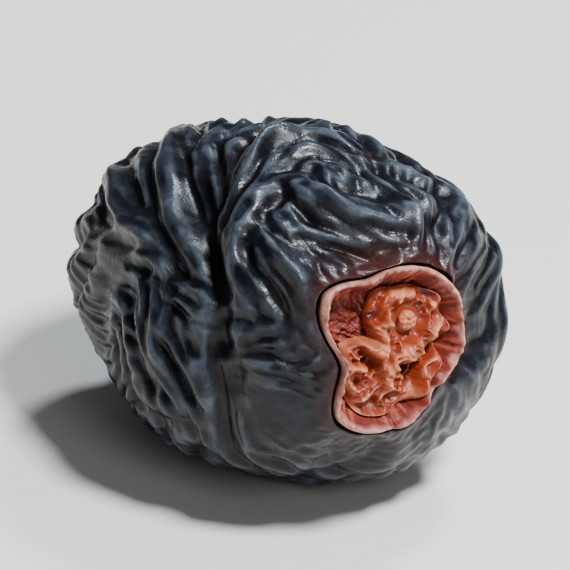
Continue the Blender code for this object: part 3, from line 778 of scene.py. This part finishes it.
def petal_shape(directions):
    """The surface of the petals, with their upturned rim, fibres and crepe."""
    radius, angles, side = plate(directions, petal_reach)
    share = radius / petal_reach(angles)
    edge = placed(CAP_MIDDLE, angles, 0)
    height = petal_middle(radius, angles) + 0.5 * PETAL_THICKNESS * side
    height += petal_layers(radius, angles) * (side > UNDERSIDE)
    variety = 1 + RIM_FOLD_VARIETY * drift(edge, RIM_FOLD_SIZE, FINE_SEEDS["rim fold"])
    variety *= 1 - LOW_RIM_DROP * low_rim(angles)
    grain = RIM_FOLD * variety * np.exp(-(((share - RIM_FOLD_PLACE) / RIM_FOLD_WIDTH) ** 2))
    grain += FIBRE_HEIGHT * petal_fibres(radius, angles) * np.minimum(radius / CAP_MIDDLE, 1)
    for size, rise in PETAL_CREPES:
        grain += rise * crepe(placed(radius, angles, 0), size, FINE_SEEDS["petal"])
    return laid_down(placed(radius, angles, height + grain * np.maximum(side, 0)))


def calyx_reach(angles):
    """The outline of the calyx: how far it reaches at each angle round the stalk."""
    reach = np.full(len(angles), CALYX_REACH)
    for centre, length, width in CALYX_LOBES:
        reach += length * np.exp(-((degrees_apart(angles, centre) / width) ** 2))
    return reach + FRAY * drift(placed(CALYX_REACH, angles, 0), FRAY_SIZE, SEEDS["fray"])


def crumpled(flat):
    """Height of the crumpled calyx above its thinnest: the marked folds over a lighter crumple."""
    moved = flat + WARP * drift_aside(flat, WARP_SIZE, SEEDS["warp"])
    creases = 1 - CREASE_SLOPE * np.abs(drift(moved, CRUMPLE_SIZE, SEEDS["crumple"]))
    total = CALYX_SWELL + CRUMPLE_HEIGHT * creases
    for height, width, corners in CALYX_FOLDS:
        curve = rounded_curve(np.array([(0, y, z) for y, z in corners]) * MM)
        distance, _, _ = near_curve(moved, curve)
        total += height * MM * np.exp(-((distance / (width * MM)) ** CALYX_FOLD_FALL))
    return np.maximum(total, 0)


def calyx_floor(radius, angles):
    """The level of the calyx's underside, just clear of the petals."""
    petals = petal_middle(radius, angles) + PETAL_THICKNESS / 2 + petal_layers(radius, angles)
    return petals + GAP + CLEARANCE


def off_scar(flat):
    """How far points are from the middle of the scar."""
    return np.hypot(flat[:, 1] - SCAR_CENTRE[0], flat[:, 2] - SCAR_CENTRE[1])


def calyx_shape(directions):
    """The surface of the crumpled calyx, calm round the scar and thin at its edge."""
    radius, angles, side = plate(directions, calyx_reach)
    flat = placed(radius, angles, 0)
    inner = 1 - (radius / calyx_reach(angles)) ** CALYX_EDGE
    folded = crumpled(flat)
    for size, rise in CALYX_CREPES:
        folded += rise * crepe(flat, size, FINE_SEEDS["calyx"])
    thickness = CALYX_THICKNESS * (1 - CALYX_EDGE_THINNING * (1 - inner))
    top = thickness + folded * smooth_step(off_scar(flat), *SCAR_RING) * inner
    height = calyx_floor(radius, angles) + top * (0.5 + 0.5 * side)
    return laid_down(placed(radius, angles, height))


def scar_reach(angles):
    """The uneven outline of the scar."""
    bulges = sum(share * np.cos(count * angles + turn) for count, share, turn in SCAR_BULGES)
    return SCAR_RADIUS * (1 + bulges)


def scar_shape(directions):
    """The surface of the stub: domed and frayed, with a pit in its middle."""
    radius, angles, side = plate(directions, scar_reach)
    pit = SCAR_PIT * np.exp(-((radius / (SCAR_PIT_SHARE * SCAR_RADIUS)) ** 2))
    pit += SCAR_DOME * (radius / SCAR_RADIUS) ** 2
    points = placed(radius, angles, 0)
    frayed = FRAYING * drift(points, FRAYING_SIZE, FINE_SEEDS["scar"])
    points += (0, *SCAR_CENTRE)
    away = np.hypot(points[:, 1], points[:, 2])
    floor = calyx_floor(away, np.arctan2(points[:, 2], points[:, 1])) + CALYX_THICKNESS + GAP
    points[:, 0] = floor + (SCAR_HEIGHT - pit + frayed) * (0.5 + 0.5 * side)
    return laid_down(points)


def ringed_sphere(rings):
    """A sphere of rings round Z, as segments round and rings up."""
    mesh = bmesh.new()
    bmesh.ops.create_uvsphere(mesh, u_segments=rings[0], v_segments=rings[1], radius=1)
    return mesh


def vertex_values(data, name, size):
    """The values called NAME of all vertices, SIZE numbers each."""
    values = np.empty(len(data.vertices) * size, np.float32)
    data.vertices.foreach_get(name, values)
    return values.reshape(-1, size).astype(float)


def averaged(data, rounds, values):
    """The VALUES of the vertices, each averaged with its neighbours ROUNDS times."""
    ends = np.empty(len(data.edges) * 2, np.int32)
    data.edges.foreach_get("vertices", ends)
    first, second = ends.reshape(-1, 2).T
    degree = np.bincount(np.concatenate([first, second]), minlength=len(values))[:, None]
    for _ in range(rounds):
        total = np.zeros_like(values)
        for axis in range(values.shape[1]):
            total[:, axis] += np.bincount(first, values[second, axis], len(values))
            total[:, axis] += np.bincount(second, values[first, axis], len(values))
        values = 0.5 * values + 0.5 * total / degree
    return values


def bending(data, rounds):
    """How far each vertex stands above its surroundings, ROUNDS of neighbours wide: crests above 0."""
    points = vertex_values(data, "co", 3)
    normals = vertex_values(data, "normal", 3)
    return ((points - averaged(data, rounds, points)) * normals).sum(1)


def add_attribute(data, name, values):
    """Stores a number for each vertex, for the materials."""
    attribute = data.attributes.new(name, "FLOAT", "POINT")
    attribute.data.foreach_set("value", values.astype(np.float32))


def add_piece(name, rings, shape, material, node, smoothing=0):
    """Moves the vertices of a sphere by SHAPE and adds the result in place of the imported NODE."""
    mesh = ringed_sphere(rings)
    data = bpy.data.meshes.new(name)
    mesh.to_mesh(data)
    mesh.free()
    moved = averaged(data, smoothing, shape(vertex_values(data, "co", 3)))
    data.vertices.foreach_set("co", moved.astype(np.float32).ravel())
    data.update()
    data.materials.append(material)
    data.shade_smooth()
    piece = bpy.data.objects.new(name, data)
    bpy.context.scene.collection.objects.link(piece)
    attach(piece, "root")
    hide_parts(node)
    return piece


class Finish:
    """A material whose nodes are added one by one, with its Principled shader ready."""

    def __init__(self, name):
        self.material = bpy.data.materials.new(name)
        self.material.use_nodes = True
        self.tree = self.material.node_tree
        self.shader = self.tree.nodes["Principled BSDF"]
        coordinates = self.tree.nodes.new("ShaderNodeTexCoord")
        self.place = coordinates.outputs["Object"]

    def link(self, source, target):
        self.tree.links.new(source, target)

    def set(self, **values):
        for name, value in values.items():
            self.shader.inputs[name.replace("_", " ")].default_value = value

    def attribute(self, name):
        """The numbers that the mesh stores under NAME."""
        node = self.tree.nodes.new("ShaderNodeAttribute")
        node.attribute_name = name
        return node.outputs["Fac"]

    def noise(self, size, detail=3, distortion=0.0):
        """A noise from 0 to 1 whose spots are about SIZE metres across."""
        node = self.tree.nodes.new("ShaderNodeTexNoise")
        node.inputs["Scale"].default_value = 1 / size
        node.inputs["Detail"].default_value = detail
        node.inputs["Distortion"].default_value = distortion
        self.link(self.place, node.inputs["Vector"])
        return node.outputs["Fac"]

    def cells(self, size, feature="F1"):
        """Distances in a pattern of cells about SIZE metres across."""
        node = self.tree.nodes.new("ShaderNodeTexVoronoi")
        node.feature = feature
        node.inputs["Scale"].default_value = 1 / size
        self.link(self.place, node.inputs["Vector"])
        return node.outputs["Distance"]

    def range(self, source, low, high, new_low=0.0, new_high=1.0):
        """A smooth rise from NEW_LOW to NEW_HIGH as SOURCE goes from LOW to HIGH."""
        node = self.tree.nodes.new("ShaderNodeMapRange")
        node.interpolation_type = "SMOOTHSTEP"
        for name, value in zip(("From Min", "From Max", "To Min", "To Max"), (low, high, new_low, new_high)):
            node.inputs[name].default_value = value
        self.link(source, node.inputs["Value"])
        return node.outputs["Result"]

    def math(self, operation, first, second):
        node = self.tree.nodes.new("ShaderNodeMath")
        node.operation = operation
        for socket, value in zip(node.inputs, (first, second)):
            if isinstance(value, (int, float)):
                socket.default_value = value
            else:
                self.link(value, socket)
        return node.outputs["Value"]

    def mix(self, share, first, second):
        """Blends two colours, each a colour or a socket."""
        node = self.tree.nodes.new("ShaderNodeMix")
        node.data_type = "RGBA"
        self.link(share, node.inputs["Factor"])
        for name, value in (("A", first), ("B", second)):
            socket = next(one for one in node.inputs if one.name == name and one.type == "RGBA")
            if isinstance(value, tuple):
                socket.default_value = (*value, 1)
            else:
                self.link(value, socket)
        return next(one for one in node.outputs if one.type == "RGBA")

    def bump(self, height, depth, strength=1.0):
        node = self.tree.nodes.new("ShaderNodeBump")
        node.inputs["Distance"].default_value = depth
        node.inputs["Strength"].default_value = strength
        self.link(height, node.inputs["Height"])
        self.link(node.outputs["Normal"], self.shader.inputs["Normal"])

    def colour(self, source):
        self.link(source, self.shader.inputs["Base Color"])

    def roughness(self, source):
        self.link(source, self.shader.inputs["Roughness"])


def skin_finish():
    """Near-black skin: a blue-grey waxy coat with painted sheen on its crests, pale lines of painted
    highlight along its sharpest crests, both weaker towards the tip as painted shade, and reddish round the
    cap.
    """
    made = Finish("date_skin_look")
    made.set(Metallic=0.0, Specular_IOR_Level=0.23)
    crest = made.attribute("crest")
    edge = made.attribute("edge")
    # Weakens the pale coat and lines towards the tip: painted shade.
    tip_shade_fade = made.attribute("tip_shade_fade")
    patches = made.noise(6 * MM, 4, 0.6)
    grain = made.noise(0.3 * MM, 3)
    base = made.mix(made.range(patches, 0.4, 0.7), SKIN_BLUE_BLACK, SKIN_BROWN_BLACK)
    spread = made.range(made.noise(2.4 * MM, 5, 0.5), 0.38, 0.66, 0.05, 1.0)
    # Lighter on crests: the skin's waxy coat with painted sheen.
    waxy_film_and_sheen = made.math("MULTIPLY", spread, made.range(crest, -0.7, 0.5))
    speckled = made.math("MULTIPLY", waxy_film_and_sheen, made.range(grain, 0.35, 0.65, 0.6, 1.0))
    veiled_and_sheened = made.mix(made.math("MULTIPLY", speckled, tip_shade_fade), base, SKIN_WAXY_FILM_AND_SHEEN)
    # Pale lines on the sharpest crests: painted highlights with some waxy coat.
    broken = made.range(made.noise(1.6 * MM, 3, 0.4), 0.35, 0.7, 0.25, 1.0)
    lines = made.math("MULTIPLY", broken, made.range(edge, 0.25, 1.0))
    dusty_glint_lines = made.math("MULTIPLY", lines, made.range(grain, 0.3, 0.7, 0.7, 1.0))
    lit = made.mix(made.math("MULTIPLY", dusty_glint_lines, tip_shade_fade), veiled_and_sheened, SKIN_GLINT_AND_FILM_LINES)
    made.colour(made.mix(made.attribute("near_cap"), lit, SKIN_NEAR_CAP))
    made.roughness(made.range(made.noise(0.8 * MM, 4), 0.3, 0.7, 0.24, 0.44))
    pores = made.range(made.cells(0.2 * MM), 0.0, 0.6)
    creases = made.range(made.cells(0.55 * MM, "DISTANCE_TO_EDGE"), 0.0, 0.12)
    fine = made.math("ADD", made.math("MULTIPLY", grain, 0.45), made.math("MULTIPLY", pores, 0.3))
    made.bump(made.math("ADD", fine, made.math("MULTIPLY", creases, 0.25)), 0.04 * MM, 0.4)
    return made.material


def petal_finish():
    """Papery petals: deep red inside, pale pink along their lifted rims, with painted highlights on their
    crests and painted shade in their creases.
    """
    made = Finish("dried_petal_look")
    made.set(Metallic=0.0, Specular_IOR_Level=0.35)
    rim = made.attribute("rim")
    crest = made.attribute("crest")
    body = made.mix(made.noise(1.2 * MM, 4, 0.5), PETAL_MAROON, PETAL_RED)
    veined = made.mix(made.range(made.attribute("fibre"), -0.2, 1.2, 0.0, 0.5), body, PETAL_FIBRE)
    pale = made.mix(made.range(made.noise(0.7 * MM, 4), 0.3, 0.7), PETAL_DULL_RIM, PETAL_PINK_RIM)
    shaded = made.mix(rim, veined, pale)
    # Painted highlight on the petals' crests, strongest along the rim.
    proud = made.math("MULTIPLY", made.range(rim, 0.0, 1.0, 0.3, 1.0), made.range(crest, 0.2, 1.0, 0.0, 0.45))
    raised = made.mix(proud, shaded, PETAL_LIT)
    # Painted shade in the petals' creases.
    made.colour(made.mix(made.range(crest, 0.0, -1.0, 0.0, 0.7), raised, PETAL_CREASE_SHADE))
    made.roughness(made.range(made.noise(0.8 * MM, 3), 0.3, 0.7, 0.40, 0.66))
    made.bump(made.noise(0.18 * MM, 4), 0.04 * MM, 0.7)
    return made.material


def calyx_finish():
    """Crumpled orange-red calyx, with painted shade that darkens its pits and creases to dark red and painted
    highlights that turn its ridges and crests peach.
    """
    made = Finish("dried_sepal_look")
    made.set(Metallic=0.0, Specular_IOR_Level=0.35)
    raised = made.attribute("raised")
    crest = made.attribute("crest")
    uneven = made.math("ADD", raised, made.range(made.noise(0.9 * MM, 4, 0.4), 0.2, 0.8, -0.12, 0.12))
    slope = made.mix(made.noise(1.4 * MM, 4, 0.6), CALYX_MAROON, CALYX_RED)
    # Peach on the high ground is painted highlight over its orange.
    ridge_and_highlight = made.mix(made.noise(0.7 * MM, 3), CALYX_ORANGE, CALYX_PEACH_HIGHLIGHT)
    # Lighter high up and darker low down: painted light and shade by height over the calyx's own reds.
    body = made.mix(made.range(uneven, 0.60, 1.15), slope, ridge_and_highlight)
    # Painted shade in the pits.
    pit_shaded = made.mix(made.range(uneven, 0.34, 0.05), body, CALYX_PIT_SHADE)
    lit = made.mix(made.range(crest, 0.15, 1.0, 0.0, 0.8), pit_shaded, CALYX_LIT)
    # Painted shade in the creases.
    made.colour(made.mix(made.range(crest, -0.2, -1.0, 0.0, 0.7), lit, CALYX_CREASE_SHADE))
    made.roughness(made.range(made.noise(0.7 * MM, 3), 0.3, 0.7, 0.30, 0.55))
    made.bump(made.noise(0.2 * MM, 4), 0.04 * MM, 0.6)
    return made.material


def scar_finish():
    """The broken end of the stalk: orange-tan fibre, with painted shade in its pit and creases."""
    made = Finish("stalk_fibre_look")
    made.set(Metallic=0.0)
    crest = made.attribute("crest")
    body = made.mix(made.noise(0.3 * MM, 4), SCAR_ORANGE, SCAR_TAN)
    # Painted shade in the pit and creases.
    made.colour(made.mix(made.range(crest, -0.1, -1.0), body, SCAR_CREASE_SHADE))
    made.roughness(made.range(made.noise(0.4 * MM, 3), 0.3, 0.7, 0.45, 0.7))
    made.bump(made.noise(0.12 * MM, 3), 0.04 * MM, 0.9)
    return made.material


def mark_crests(piece, name, rounds, scale):
    """Stores where the surface stands proud of its surroundings, as -1 to 1."""
    proud = np.clip(bending(piece.data, rounds) / scale, -1, 1)
    even = averaged(piece.data, CREST_AVERAGING, proud[:, None])
    add_attribute(piece.data, name, even[:, 0])


def sphere_directions(rings):
    """The vertices of the sphere that a piece starts from."""
    mesh = ringed_sphere(rings)
    directions = np.array([vertex.co for vertex in mesh.verts])
    mesh.free()
    return directions


def upright(points):
    """The same places in the fruit's own axes, before it was laid down."""
    x, y, z = (points - (CENTRING[0], CENTRING[1], AXIS_HEIGHT)).T
    along = x * math.cos(LEAN) + z * math.sin(LEAN)
    above = z * math.cos(LEAN) - x * math.sin(LEAN)
    return np.stack([along, y, above], axis=1)


def rim_paleness(radius, angles):
    """How pale the petals are: pale along their rims, but less so at the top, where shade is painted."""
    edge = placed(CAP_MIDDLE, angles, 0)
    uneven = PALE_RIM_UNEVENNESS * drift(edge, PALE_RIM_SIZE, FINE_SEEDS["pale rim"])
    share = radius / petal_reach(angles) + uneven
    return smooth_step(share, *PALE_RIM_RANGE) * (1 - TOP_RIM_PAINTED_SHADE * low_rim(angles))


def calyx_height(radius, angles):
    """How high the calyx stands for its colours, from 0 to about 1, and even round the scar."""
    flat = placed(radius, angles, 0)
    share = smooth_step(off_scar(flat), *SCAR_SURROUND)
    return SURROUND_HEIGHT + (crumpled(flat) / HIGHEST_CRUMPLE - SURROUND_HEIGHT) * share


def outside_tip_shade(own):
    """How much of the skin's pale coat and lines is kept: less towards the tip, as painted shade."""
    return TIP_SHADE_KEPT + (1 - TIP_SHADE_KEPT) * smooth_step(own[:, 0], *TIP_SHADE_X)


def add_fruit():
    fruit = add_piece(
        "fruit_skin", FRUIT_RINGS, fruit_skin, skin_finish(), "fruit", SMOOTHING_ROUNDS
    )
    mark_crests(fruit, "crest", *SKIN_CRESTS)
    mark_crests(fruit, "edge", *SKIN_EDGES)
    own = upright(vertex_values(fruit.data, "co", 3))
    near_cap = np.exp(-np.maximum(beyond_seat(own), 0) / NEAR_CAP) * (own[:, 0] > 0)
    add_attribute(fruit.data, "near_cap", near_cap)
    # The skin's pale marks weaken towards the tip as painted shade.
    add_attribute(fruit.data, "tip_shade_fade", outside_tip_shade(own))


def add_petals():
    petals = add_piece("petal_ring", PETAL_RINGS, petal_shape, petal_finish(), "petals")
    mark_crests(petals, "crest", *PETAL_CRESTS)
    radius, angles, _ = plate(sphere_directions(PETAL_RINGS), petal_reach)
    add_attribute(petals.data, "rim", rim_paleness(radius, angles))
    add_attribute(petals.data, "fibre", petal_fibres(radius, angles))


def add_calyx():
    calyx = add_piece("calyx_cup", CALYX_RINGS, calyx_shape, calyx_finish(), "calyx")
    mark_crests(calyx, "crest", *CALYX_CRESTS)
    radius, angles, _ = plate(sphere_directions(CALYX_RINGS), calyx_reach)
    add_attribute(calyx.data, "raised", calyx_height(radius, angles))


def add_scar():
    scar = add_piece("scar_stub", SCAR_RINGS, scar_shape, scar_finish(), "stalk_scar")
    mark_crests(scar, "crest", *SCAR_CRESTS)


def add_floor():
    bpy.ops.mesh.primitive_plane_add(size=FLOOR_SIZE)
    floor = bpy.context.object
    floor.name = "floor"
    made = Finish("floor_look")
    made.colour(made.mix(made.noise(FLOOR_PATCHES, 3), *FLOOR_COLOURS))
    made.set(Roughness=0.75)
    floor.data.materials.append(made.material)


def away_from(azimuth, elevation):
    """The unit direction towards a viewer at an azimuth and elevation."""
    flat = math.cos(elevation)
    return Vector((math.sin(azimuth) * flat, -math.cos(azimuth) * flat, math.sin(elevation)))


def aim(thing, direction, distance, target):
    """Puts a camera or light DISTANCE from the target, facing it."""
    thing.location = target + direction * distance
    thing.rotation_mode = "QUATERNION"
    thing.rotation_quaternion = direction.to_track_quat("Z", "Y")


def add_camera(target):
    camera = bpy.data.objects.new("camera", bpy.data.cameras.new("camera"))
    bpy.context.scene.collection.objects.link(camera)
    camera.data.sensor_width = SENSOR
    camera.data.lens = SENSOR * VIEW_DISTANCE / VIEW_WIDTH
    camera.data.clip_start = NEAREST_SEEN
    aim(camera, away_from(VIEW_AZIMUTH, VIEW_ELEVATION), VIEW_DISTANCE, target)
    bpy.context.scene.camera = camera


def add_light(name, azimuth, elevation, distance, size, power, colour, target):
    light = bpy.data.objects.new(name, bpy.data.lights.new(name, "AREA"))
    bpy.context.scene.collection.objects.link(light)
    light.data.shape = "DISK"
    light.data.size = size
    light.data.energy = power
    light.data.color = colour
    aim(light, away_from(math.radians(azimuth), math.radians(elevation)), distance, target)


def add_lights(target):
    for light in LIGHTS:
        add_light(*light, target)
    world = bpy.data.worlds.new("studio")
    world.use_nodes = True
    background = world.node_tree.nodes["Background"]
    background.inputs["Color"].default_value = (*SKY_COLOUR, 1)
    background.inputs["Strength"].default_value = SKY_STRENGTH
    bpy.context.scene.world = world


add_fruit()
add_petals()
add_calyx()
add_scar()
add_floor()
middle = Vector([(low + high) / 2 for low, high in zip(*CAD_BOUNDS)])
add_camera(middle)
add_lights(middle)
